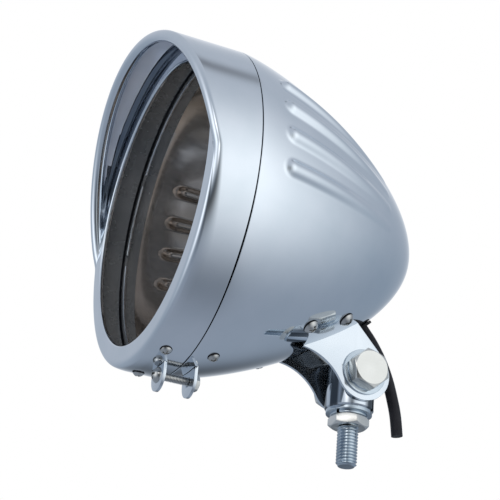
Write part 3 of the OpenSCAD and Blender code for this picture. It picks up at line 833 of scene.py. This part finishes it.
# %% The pivot bolt
bolt_under_nut = 2.0
bolt_overlap = 1.0
bolt_low, bolt_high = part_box("pivot_bolt")
bolt_y, bolt_z = (bolt_low.y + bolt_high.y) / 2, (bolt_low.z + bolt_high.z) / 2
nut_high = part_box("pivot_nut")[1]
bolt = copy_of("pivot_bolt", "pivot_hex_bolt")
cut_off(bolt, (nut_high.x - bolt_under_nut * mm, 0, 0), (-1, 0, 0))
ease_edges(bolt, width=0.35)
thread_top = nut_high.x / mm - bolt_overlap
rod = wind_thread("pivot_thread", stud_r, stud_pitch, bolt_low.x / mm, thread_top, stud_chamfer)
rod.data.transform(Matrix.Translation((0, bolt_y, bolt_z)) @ Matrix.Rotation(math.pi / 2, 4, "Y"))
bolt = join("pivot_hex_bolt", bolt, rod)
keep(bolt, "lamp", "stainless", "pivot_bolt")
print("bolt faces", len(bolt.data.polygons))

# %% [markdown]
# ## Finishes
# Chrome is a mirror with a slightly blue tint, and what gives it away is its faint waviness and
# the soft haze of wiping. Each metal here is the same set of nodes with other values: a base
# colour that drifts a little, a roughness that drifts too, and a shallow bump. All of it is read
# from Object coordinates, so it stays on the piece when the lamp tilts.

# %% Nodes in a few words
def node_of(tree, kind, **settings):
    """Adds a node, sets its settings, and returns it."""
    node = tree.nodes.new(kind)
    for key, value in settings.items():
        setattr(node, key, value)
    return node


def noise_of(tree, scale, detail=3.0, stretch=(1, 1, 1)):
    """Noise on Object coordinates, stretched along an axis where asked."""
    place = node_of(tree, "ShaderNodeTexCoord")
    mapping = node_of(tree, "ShaderNodeMapping")
    mapping.inputs["Scale"].default_value = stretch
    noise = node_of(tree, "ShaderNodeTexNoise")
    noise.inputs["Scale"].default_value = scale
    noise.inputs["Detail"].default_value = detail
    tree.links.new(place.outputs["Object"], mapping.inputs["Vector"])
    tree.links.new(mapping.outputs["Vector"], noise.inputs["Vector"])
    return noise.outputs["Fac"]


def spread(tree, value, low, high, start=0.3, stop=0.7):
    """Maps a noise value to a range."""
    node = node_of(tree, "ShaderNodeMapRange")
    tree.links.new(value, node.inputs["Value"])
    for key, number in (("From Min", start), ("From Max", stop), ("To Min", low), ("To Max", high)):
        node.inputs[key].default_value = number
    return node.outputs["Result"]


def two_tone(tree, value, first, second):
    """Mixes two colours by a value."""
    node = node_of(tree, "ShaderNodeMix", data_type="RGBA")
    tree.links.new(value, node.inputs["Factor"])
    node.inputs["A"].default_value = (*first, 1)
    node.inputs["B"].default_value = (*second, 1)
    return node.outputs["Result"]


print("node helpers ready")

# %% Build a metal
even, upright = (1, 1, 1), (1, 1, 0.06)
soft_edge, crisp_edge = (0.3, 0.7), (0.44, 0.56)
haze_ratio = 2.3


def metal(name, first, second, rough, drift, bump, bump_scale, tone_scale=60, metallic=1.0,
        banded=False, shine=0.5):
    """A metal whose colour, roughness and surface all vary a little. Banded means upright bands of painted
    reflection.
    """
    finish = bpy.data.materials.new(name)
    finish.use_nodes = True
    tree = finish.node_tree
    shader = tree.nodes["Principled BSDF"]
    shader.inputs["Metallic"].default_value = metallic
    shader.inputs["Specular IOR Level"].default_value = shine
    tone = noise_of(tree, tone_scale, 2.0, upright if banded else even)
    edges = crisp_edge if banded else soft_edge
    tones = two_tone(tree, spread(tree, tone, 0, 1, *edges), first, second)
    tree.links.new(tones, shader.inputs["Base Color"])
    haze = noise_of(tree, tone_scale * haze_ratio, 4.0)
    tree.links.new(spread(tree, haze, rough - drift, rough + drift), shader.inputs["Roughness"])
    raised = node_of(tree, "ShaderNodeBump")
    raised.inputs["Strength"].default_value = 1.0
    raised.inputs["Distance"].default_value = bump
    tree.links.new(noise_of(tree, bump_scale, 2.0), raised.inputs["Height"])
    tree.links.new(raised.outputs["Normal"], shader.inputs["Normal"])
    return finish


print("metals can be mixed")

# %% [markdown]
# ### The metals of this lamp
# Outside is chrome, the bare inside is warmer, bolt and nuts are steel, and the stud and washers
# are zinc plated. Four finishes are darker or paler than real chrome: inner_painted_reflection, visor_inside,
# visor_painted_pale_reflection and shaded_chrome. They stand in for reflections that a plain studio doesn't give, and
# so do the knuckle's upright bands. The dark line in narrow gaps is seam_shadow.

# %% Mix the metals
chrome = metal("chrome_plate", (0.74, 0.79, 0.84), (0.78, 0.82, 0.87), 0.045, 0.015, 0.00001, 45)
ring_chrome = metal("ring_chrome", (0.72, 0.77, 0.82), (0.77, 0.81, 0.86), 0.04, 0.015, 0.00001, 45)
inside_metal = metal("inside_nickel", (0.52, 0.46, 0.41), (0.62, 0.56, 0.51), 0.10, 0.03, 0.00001, 50,
    metallic=0.94)
# A painted dark reflection, darker than real chrome, for the bowl's neck and the ring's inner wall.
inner_dark_reflection = metal("inner_painted_reflection", (0.25, 0.265, 0.28), (0.29, 0.30, 0.31), 0.26, 0.04, 0.00001, 50,
    metallic=0.7)
# A painted dark reflection for the hollow just inside the visor's lip.
visor_dark_reflection = metal("visor_inside", (0.15, 0.18, 0.225), (0.19, 0.22, 0.26), 0.12, 0.03, 0.00001, 50)
# A pale blue-lilac painted reflection for the inner face of the visor further forward.
visor_pale_reflection = metal("visor_painted_pale_reflection", (0.51, 0.57, 0.70), (0.60, 0.65, 0.76), 0.14, 0.03, 0.00001, 50,
    metallic=0.3)
# shaded_chrome is painted shade, darker than real chrome, for the bracket ears' inner faces.
under_metal = metal("shaded_chrome", (0.13, 0.145, 0.16), (0.36, 0.39, 0.42), 0.10, 0.03, 0.00001, 90,
    metallic=0.9)
# seam_shadow is a painted shadow: a near-black finish for narrow gaps and for the seats of screw heads.
seam_painted_shade = metal("seam_shadow", (0.03, 0.03, 0.035), (0.06, 0.06, 0.065), 0.6, 0.1, 0.00005, 300)
ear_chrome = metal("bracket_chrome", (0.68, 0.73, 0.78), (0.73, 0.77, 0.81), 0.09, 0.03, 0.00001, 90)
# The knuckle's dark and light upright bands are painted reflections on its chrome.
knuckle_painted_bands = metal("knuckle_painted_bands", (0.10, 0.115, 0.13), (0.70, 0.75, 0.80), 0.08, 0.03, 0.00002, 90,
    tone_scale=150, banded=True)
steel = metal("stainless_steel", (0.72, 0.71, 0.67), (0.82, 0.81, 0.77), 0.16, 0.05, 0.00001, 380)
screw_steel = metal("polished_steel", (0.47, 0.465, 0.45), (0.68, 0.67, 0.65), 0.08, 0.03, 0.00001, 380)
zinc = metal("zinc_plate", (0.46, 0.53, 0.59), (0.66, 0.72, 0.77), 0.15, 0.05, 0.00003, 420)
print("metals made")

# %% [markdown]
# ### Rubber and cable jacket
# Both are black and not metal. The grommet is dull with fine pores. The jacket is smooth plastic
# that shows one soft highlight along its length.

# %% Build the black plastics
def plastic(name, first, second, rough, drift, bump, bump_scale):
    """A dark plastic with a fine grain."""
    return metal(name, first, second, rough, drift, bump, bump_scale, tone_scale=150, metallic=0.0,
        shine=0.16)


jacket = plastic("cable_jacket", (0.010, 0.010, 0.013), (0.018, 0.018, 0.022), 0.36, 0.06, 0.00002, 900)
rubber = plastic("grommet_rubber", (0.012, 0.012, 0.013), (0.025, 0.025, 0.026), 0.62, 0.08, 0.00005, 1400)
print("plastics made")

# %% [markdown]
# ### Who wears what
# A piece lists its finishes, and each face takes one by its number. Faces are picked by radius from
# the axis, distance behind the seam and the way they look, so the bowl is chrome outside and plain
# inside without a cut.

# %% Read the faces of a piece
def dress(obj, *finishes):
    """Gives the piece its finishes, in the order of its material slots."""
    obj.data.materials.clear()
    for f in finishes:
        obj.data.materials.append(f)
    return obj


def face_slots(obj, slots):
    """Sets which material slot each face takes."""
    obj.data.polygons.foreach_set("material_index", np.asarray(slots, np.int32))
    obj.data.update()


def face_vectors(obj):
    """The faces' normals and middles, in the scene's metres."""
    found = []
    for key in ("normal", "center"):
        values = np.zeros(len(obj.data.polygons) * 3)
        obj.data.polygons.foreach_get(key, values)
        found.append(values.reshape(-1, 3))
    return found


def centre_rows(obj):
    """Each face's middle in lamp millimetres: radius from the axis and distance behind the seam."""
    c = (face_vectors(obj)[1] - (0, seam_y, axis_z)) / mm
    return np.hypot(c[:, 0], c[:, 2]), c[:, 1]


def face_rows(obj):
    """The profile row of each face's first corner."""
    starts = np.zeros(len(obj.data.polygons), np.int32)
    corners = np.zeros(len(obj.data.loops), np.int32)
    obj.data.polygons.foreach_get("loop_start", starts)
    obj.data.loops.foreach_get("vertex_index", corners)
    return whole_row(obj, "row")[corners[starts]]


print("faces can be read")

# %% Dress the bowl
on_chrome, on_inside, on_neck, on_painted_shade = range(4)
sheet_shade = 40
hair = 0.05
seam_rear = 0.4
seam_lip = 0.35
neck_edge, neck_in_by = 0.3, 0.6
neck_shade_reach = 2.5
rim_back, rim_wide = 1.0, 0.5
dress(bowl, chrome, inside_metal, inner_dark_reflection, seam_painted_shade)
r, y = centre_rows(bowl)
normal, centre = face_vectors(bowl)
bowl_heart = spot(0, 20, 0)
outward = ((centre - bowl_heart) * normal).sum(1) > 0
slot_of = np.where(outward, on_chrome, on_inside)
# The bowl's neck inside the ring takes a painted dark reflection.
slot_of[(y < sheet + neck_edge) & (r < lamp_r - neck_in_by)] = on_neck
# Faces in the gap between bowl and ring, and on the neck's outer face near the seam, take a painted shadow.
slot_of[(y > seam_gap - hair) & (y < seam_rear) & (r < lamp_r - seam_lip) & (r > neck_out - hair)] = on_painted_shade
slot_of[(y > -neck_shade_reach) & (y < seam_rear) & (abs(r - neck_out) < 2 * hair)] = on_painted_shade
slot_of[(y < rim_back - neck_len) & (abs(r - flange_in) < rim_wide)] = on_chrome
face_slots(bowl, slot_of)
smooth(bowl, sheet_shade)
keep(bowl, "lamp", "chromed_sheet", "shell")
print("bowl faces a finish", np.bincount(slot_of))

# %% Dress the ring
on_wall, on_shadow, on_hollow, on_pale_reflection = range(1, 5)
wall_r = lamp_r - 0.9
seam_deep = 1.0
hem_air, hem_facing = 0.1, 0.4
square_on, half_on = 0.9, 0.5
hollow_start = 0.03
hollow_dark = 3.6
hollow_first_row = 55
pale_reflection_band = 0.4
dress(ring, ring_chrome, inner_dark_reflection, seam_painted_shade, visor_dark_reflection, visor_pale_reflection)
r, y = centre_rows(ring)
slot_of = np.zeros(len(r), int)
normal, centre = face_vectors(ring)
radial = (normal * (centre - spot(0, 0, 0)) * (1, 0, 1)).sum(1) / (r * mm)
# The ring's inner wall takes a painted dark reflection.
slot_of[(r < wall_r) & (y > lip_hem - ring_depth - hem_air) & (radial < hem_facing)] = on_wall
# The ring's rear edge and its inner face along the neck's gap take a painted shadow.
slot_of[(y > -seam_deep) & (r < lamp_r - seam_lip)] = on_shadow
slot_of[(y > -neck_len - gap_line) & (y < 0) & (radial < -square_on)] = on_shadow
# Just inside the lip, the hollow under the visor takes a painted dark reflection.
hollow = (y < -ring_depth - hollow_start) & (r < wall_r) & (face_rows(ring) >= hollow_first_row)
slot_of[hollow & (y > -ring_depth - hollow_dark)] = on_hollow
# Further forward, the visor's inner face takes a pale painted reflection.
far = hollow & (y < -ring_depth - hollow_dark)
slot_of[far & (r > lamp_r - sheet - pale_reflection_band) & (radial < -half_on)] = on_pale_reflection
face_slots(ring, slot_of)
smooth(ring, sheet_shade)
keep(ring, "lamp", "chromed_sheet", "trim_ring")
print("ring faces a finish", np.bincount(slot_of))

# %% Dress the bracket and the screw heads
bracket = dress(small["tilt_bracket"], ear_chrome, under_metal)
normal, centre = face_vectors(bracket)
# The ears' faces that look at each other take painted shade.
inner = (normal[:, 0] * np.sign(centre[:, 0]) < -square_on) & (abs(centre[:, 0]) < ear_mid * mm)
face_slots(bracket, np.where(inner, 1, 0))
shade_rise = 0.5
# A thin band of each screw head close to the bowl takes a painted shadow where it sits.
for node in ("front_lug_screws", "rear_lug_screws", "bracket_screws"):
    heads = dress(small[node], screw_steel, seam_painted_shade)
    r, y = centre_rows(heads)
    face_slots(heads, np.where(r - bowl_at(np.maximum(y, 0)) < shade_rise, 1, 0))
print("inner ear faces", int(inner.sum()))

# %% Dress the rest
for finish, pieces in (
    (ear_chrome, ("front_lug", "rear_lug")),
    (steel, ("clamp_nut", "pivot_nut", "stud_nut")),
    (zinc, ("front_lug_nuts", "rear_lug_nuts", "bracket_nuts", "pivot_washers", "pivot_lock_washer",
        "stud_washer", "stud_lock_washer")),
    (knuckle_painted_bands, ("knuckle",)),
    (rubber, ("cable_grommet",)),
):
    for node in pieces:
        dress(small[node], finish)
for piece, finish in ((screw, screw_steel), (bolt, steel), (stud, zinc), (lead, jacket)):
    dress(piece, finish)
print("small pieces dressed")

# %% [markdown]
# ## Light and surroundings
# A mirror shows its surroundings, so the world is what makes chrome look like chrome. Here the
# world is a soft grey-blue studio, lighter overhead, with bright and dark patches in it. Their
# places and strengths were tried until the chrome had about the tones of the photograph. Camera
# rays see plain white, and whatever isn't a mirror gets an even pale light.

# %% Paint a plain studio
def heading(azimuth, elevation):
    """A direction: zero is where the lamp points, ninety is on the right as one faces its mouth."""
    a, e = math.radians(azimuth), math.radians(elevation)
    return (math.sin(a) * math.cos(e), -math.cos(a) * math.cos(e), math.sin(e))


world = bpy.data.worlds.new("studio")
bpy.context.scene.world = world
world.use_nodes = True
tree = world.node_tree
tree.nodes.clear()
look = node_of(tree, "ShaderNodeTexCoord")
direction = node_of(tree, "ShaderNodeVectorMath", operation="NORMALIZE")
tree.links.new(look.outputs["Generated"], direction.inputs[0])
split = node_of(tree, "ShaderNodeSeparateXYZ")
tree.links.new(direction.outputs["Vector"], split.inputs[0])
height = node_of(tree, "ShaderNodeMapRange")
height.inputs["From Min"].default_value = -1
tree.links.new(split.outputs["Z"], height.inputs["Value"])
sky = node_of(tree, "ShaderNodeValToRGB")
sky.color_ramp.elements[0].color = (0.308, 0.349, 0.419, 1)
sky.color_ramp.elements[1].color = (0.501, 0.543, 0.611, 1)
sky.color_ramp.elements.new(0.5).color = (0.28, 0.339, 0.415, 1)
tree.links.new(height.outputs["Result"], sky.inputs["Fac"])
total = sky.outputs["Color"]
print("studio colours", len(sky.color_ramp.elements))


# %% Bright panels and dark gaps
def patch(toward, power):
    """A soft round patch of the world: one at its middle, nothing at a right angle to it."""
    facing = node_of(tree, "ShaderNodeVectorMath", operation="DOT_PRODUCT")
    tree.links.new(direction.outputs["Vector"], facing.inputs[0])
    facing.inputs[1].default_value = toward
    above = node_of(tree, "ShaderNodeMath", operation="MAXIMUM")
    tree.links.new(facing.outputs["Value"], above.inputs[0])
    above.inputs[1].default_value = 0
    narrow = node_of(tree, "ShaderNodeMath", operation="POWER")
    tree.links.new(above.outputs["Value"], narrow.inputs[0])
    narrow.inputs[1].default_value = power
    return narrow.outputs["Value"]


# Each row is a direction, how narrow the patch is, and its colour or how much light it takes away.
panels = [
    (heading(120, 5), 3.7, (0.827, 0.825, 0.788)),
    (heading(247.5, 28), 14.0, (0.42, 0.40, 0.38)),
    (heading(300, 20), 4.0, (0.09, 0.085, 0.085)),
    (heading(5, 5), 10.0, (1.0, 1.0, 1.0)),
    (heading(50, 18), 60.0, (1.5, 1.48, 1.45)),
]
gaps = [
    (heading(62, -12), 7.0, 0.85),
    (heading(175, 74), 170.0, 0.5),
    (heading(131, -62), 12.0, 0.33),
    (heading(246, -8), 22.0, 0.72),
]
for toward, power, depth in gaps:
    shade = node_of(tree, "ShaderNodeMath", operation="MULTIPLY_ADD")
    tree.links.new(patch(toward, power), shade.inputs[0])
    shade.inputs[1].default_value = -depth
    shade.inputs[2].default_value = 1
    dimmed = node_of(tree, "ShaderNodeVectorMath", operation="SCALE")
    tree.links.new(total, dimmed.inputs[0])
    tree.links.new(shade.outputs["Value"], dimmed.inputs["Scale"])
    total = dimmed.outputs["Vector"]
for toward, power, colour in panels:
    glow = node_of(tree, "ShaderNodeVectorMath", operation="SCALE")
    glow.inputs[0].default_value = colour
    tree.links.new(patch(toward, power), glow.inputs["Scale"])
    added = node_of(tree, "ShaderNodeVectorMath", operation="ADD")
    tree.links.new(total, added.inputs[0])
    tree.links.new(glow.outputs["Vector"], added.inputs[1])
    total = added.outputs["Vector"]
print(len(panels), "panels and", len(gaps), "gaps")

# %% Show each kind of ray its own light
studio_light = node_of(tree, "ShaderNodeBackground")
tree.links.new(total, studio_light.inputs["Color"])
backdrop = node_of(tree, "ShaderNodeBackground")
backdrop.inputs["Color"].default_value = (1, 1, 1, 1)
rays = node_of(tree, "ShaderNodeLightPath")
even_light = node_of(tree, "ShaderNodeBackground")
even_light.inputs["Color"].default_value = (0.62, 0.63, 0.64, 1)
first = node_of(tree, "ShaderNodeMixShader")
choose = node_of(tree, "ShaderNodeMixShader")
out = node_of(tree, "ShaderNodeOutputWorld")
tree.links.new(rays.outputs["Is Diffuse Ray"], first.inputs["Fac"])
tree.links.new(studio_light.outputs["Background"], first.inputs[1])
tree.links.new(even_light.outputs["Background"], first.inputs[2])
tree.links.new(rays.outputs["Is Camera Ray"], choose.inputs["Fac"])
tree.links.new(first.outputs["Shader"], choose.inputs[1])
tree.links.new(backdrop.outputs["Background"], choose.inputs[2])
tree.links.new(choose.outputs["Shader"], out.inputs["Surface"])
print("world painted")

# %% [markdown]
# ### Lamps and floor
# Two broad lamps light what isn't a mirror, the plastic and the floor. The floor is plain and
# pale, and lies well below the lamp, because the stud holds the lamp and the floor doesn't.

# %% Place the lamps and the floor
def lamp(name, place, size, power, colour):
    """A broad soft lamp that faces the headlight and that mirrors don't show."""
    data = bpy.data.lights.new(name, "AREA")
    data.size = size
    data.energy = power
    data.color = colour
    obj = new_object(name, data)
    obj.location = place
    middle = spot(0, 30, 0)
    obj.rotation_euler = (Vector(place) - middle).to_track_quat("Z", "Y").to_euler()
    obj.visible_glossy = False
    return obj


lamp("key_lamp", (1.1, -0.5, 0.9), 1.0, 14, (1, 1, 1))
lamp("fill_lamp", (-1.0, -0.7, 0.7), 1.2, 8, (0.95, 0.97, 1))
floor_z = -0.32
bpy.ops.object.select_all(action="DESELECT")
bpy.ops.mesh.primitive_plane_add(size=6, location=(0, 0, floor_z))
floor = bpy.context.object
floor.name = "studio_floor"
floor.visible_glossy = False
paper = bpy.data.materials.new("floor_paper")
paper.use_nodes = True
shader = paper.node_tree.nodes["Principled BSDF"]
shader.inputs["Roughness"].default_value = 0.9
tone = spread(paper.node_tree, noise_of(paper.node_tree, 3.0), 0, 1)
paper.node_tree.links.new(two_tone(paper.node_tree, tone, (0.80, 0.81, 0.82), (0.83, 0.84, 0.85)),
    shader.inputs["Base Color"])
floor.data.materials.append(paper)
bpy.context.scene.view_settings.view_transform = "Standard"
print("lamps and floor placed")
